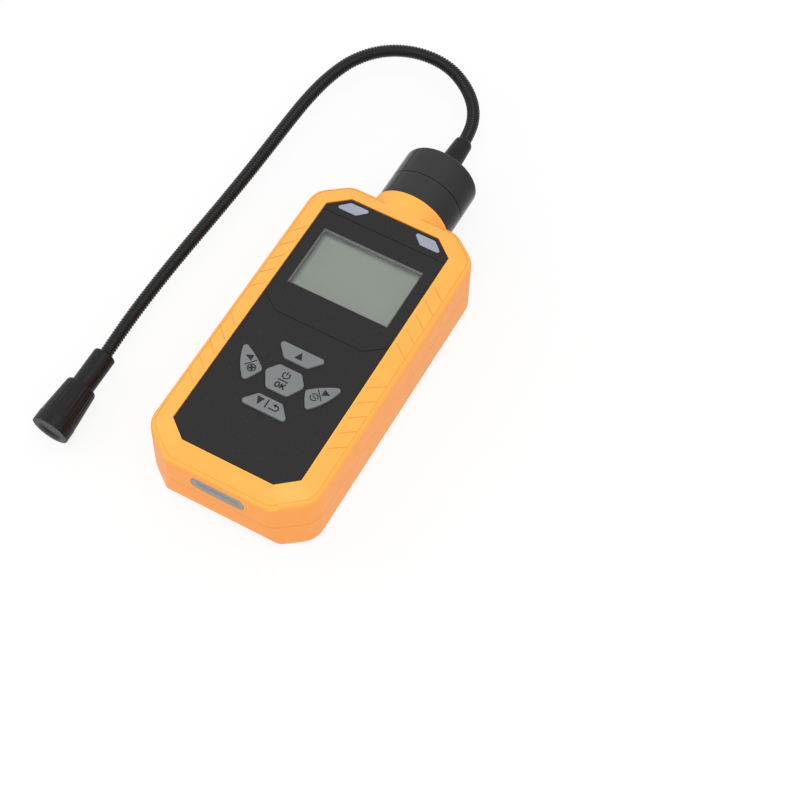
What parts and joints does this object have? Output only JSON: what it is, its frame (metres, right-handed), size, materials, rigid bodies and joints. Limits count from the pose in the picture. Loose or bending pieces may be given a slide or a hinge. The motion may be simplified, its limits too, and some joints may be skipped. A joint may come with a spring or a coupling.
{
  "type": "combustible gas detector",
  "caption": "Handheld combustible gas detector with keypad, display, alarm windows, covered charging port and a bendable gooseneck probe with a fluted sensing head.",
  "frame": {"origin": "centre of the flat back of the housing", "axes": "+Z out of the front panel, +Y along the housing towards the sensor collar, +X to the right of the panel"},
  "size_m": [0.1239, 0.2425, 0.0364],
  "materials": {
    "orange_shell": "orange moulded housing",
    "black_panel": "black satin panel",
    "key_grey": "grey keys",
    "frame_grey": "light grey display frame",
    "display_clear": "clear display window",
    "display_green": "grey green display glass",
    "backlight_white": "white light guide",
    "alarm_lens": "frosted alarm window",
    "led_white": "light emitting diode",
    "mat_rubber": "silicone key mat",
    "seal_rubber": "black seal",
    "board_green": "green circuit board",
    "black_plastic": "black cap and probe",
    "neck_black": "ribbed black gooseneck",
    "cover_rubber": "grey rubber port cover",
    "bright_steel": "steel",
    "brass": "brass",
    "battery_blue": "battery wrap",
    "lead_red": "battery leads",
    "connector_white": "connector",
    "mouth_grey": "grey mouth ring",
    "filter_grey": "sintered filter",
    "dark_metal": "dark coated can"
  },
  "bodies": {
    "housing": {"front_shell": "orange_shell", "back_shell": "orange_shell", "shell_seal": "seal_rubber", "front_panel": "black_panel", "display_frame": "frame_grey", "display_window": "display_clear", "display_glass": "display_green", "display_backlight": "backlight_white", "key_mat": "mat_rubber", "left_alarm_window": "alarm_lens", "right_alarm_window": "alarm_lens", "left_alarm_light": "led_white", "right_alarm_light": "led_white", "main_board": "board_green", "board_screw_1": "bright_steel", "board_screw_2": "bright_steel", "board_screw_3": "bright_steel", "board_screw_4": "bright_steel", "buzzer": "dark_metal", "vibration_motor": "bright_steel", "battery_socket": "connector_white", "usb_socket": "bright_steel", "battery": "battery_blue", "battery_leads": "lead_red", "case_screw_1": "dark_metal", "case_screw_2": "dark_metal", "case_screw_3": "dark_metal", "case_screw_4": "dark_metal", "clip_insert": "brass", "sensor_base": "black_plastic", "cap_seal": "seal_rubber", "cap_board": "board_green", "line_socket": "connector_white", "line_plug": "connector_white", "probe_cap": "black_plastic", "neck_sleeve": "black_plastic", "neck_1": "neck_black"},
    "up_key": {"up_key": "key_grey"},
    "centre_key": {"centre_key": "key_grey"},
    "down_key": {"down_key": "key_grey"},
    "left_key": {"left_key": "key_grey"},
    "right_key": {"right_key": "key_grey"},
    "port_cover": {"port_cover": "cover_rubber"},
    "neck_2": {"neck_2": "neck_black"},
    "neck_3": {"neck_3": "neck_black"},
    "neck_4": {"neck_4": "neck_black"},
    "neck_5": {"neck_5": "neck_black"},
    "neck_6": {"neck_6": "neck_black"},
    "neck_7": {"neck_7": "neck_black"},
    "neck_8": {"neck_8": "neck_black"},
    "probe": {"neck_9": "neck_black", "probe_sleeve": "black_plastic", "probe_head": "black_plastic", "mouth_ring": "mouth_grey", "probe_filter": "filter_grey", "gas_element": "bright_steel"}
  },
  "joints": [
    {"name": "up_press", "type": "slide", "parent": "housing", "child": "up_key", "axis": [0, 0, -1], "range_m": [0, 0.0006], "stiffness_N_per_m": 1500},
    {"name": "centre_press", "type": "slide", "parent": "housing", "child": "centre_key", "axis": [0, 0, -1], "range_m": [0, 0.0006], "stiffness_N_per_m": 1500},
    {"name": "down_press", "type": "slide", "parent": "housing", "child": "down_key", "axis": [0, 0, -1], "range_m": [0, 0.0006], "stiffness_N_per_m": 1500},
    {"name": "left_press", "type": "slide", "parent": "housing", "child": "left_key", "axis": [0, 0, -1], "range_m": [0, 0.0006], "stiffness_N_per_m": 1500},
    {"name": "right_press", "type": "slide", "parent": "housing", "child": "right_key", "axis": [0, 0, -1], "range_m": [0, 0.0006], "stiffness_N_per_m": 1500},
    {"name": "cover_swing", "type": "hinge", "parent": "housing", "child": "port_cover", "pos_m": [0, -0.0745, 0.0211], "axis": [1, 0, 0], "range_deg": [0, 100]},
    {"name": "neck_bend_1", "type": "hinge", "parent": "housing", "child": "neck_2", "pos_m": [-0.00825, 0.1506, 0.0178], "axis": [0, 0, -1], "range_deg": [-6, 45]},
    {"name": "neck_bend_2", "type": "hinge", "parent": "neck_2", "child": "neck_3", "pos_m": [-0.0338, 0.16335, 0.0178], "axis": [0, 1, 0], "range_deg": [-8, 45]},
    {"name": "neck_bend_3", "type": "hinge", "parent": "neck_3", "child": "neck_4", "pos_m": [-0.0601, 0.151, 0.0178], "axis": [0, 0, 1], "range_deg": [-45, 6]},
    {"name": "neck_bend_4", "type": "hinge", "parent": "neck_4", "child": "neck_5", "pos_m": [-0.0701, 0.1224, 0.0177], "axis": [1, 0, 0], "range_deg": [-45, 15]},
    {"name": "neck_bend_5", "type": "hinge", "parent": "neck_5", "child": "neck_6", "pos_m": [-0.07165, 0.09155, 0.0176], "axis": [0, 0, -1], "range_deg": [-9, 45]},
    {"name": "neck_bend_6", "type": "hinge", "parent": "neck_6", "child": "neck_7", "pos_m": [-0.07255, 0.0607, 0.0174], "axis": [-1, 0, 0], "range_deg": [-20, 45]},
    {"name": "neck_bend_7", "type": "hinge", "parent": "neck_7", "child": "neck_8", "pos_m": [-0.07445, 0.0298, 0.01665], "axis": [0, 0, 1], "range_deg": [-45, 14]},
    {"name": "neck_bend_8", "type": "hinge", "parent": "neck_8", "child": "probe", "pos_m": [-0.07625, -0.0008, 0.01535], "axis": [1, 0, 0], "range_deg": [-45, 30]}
  ]
}
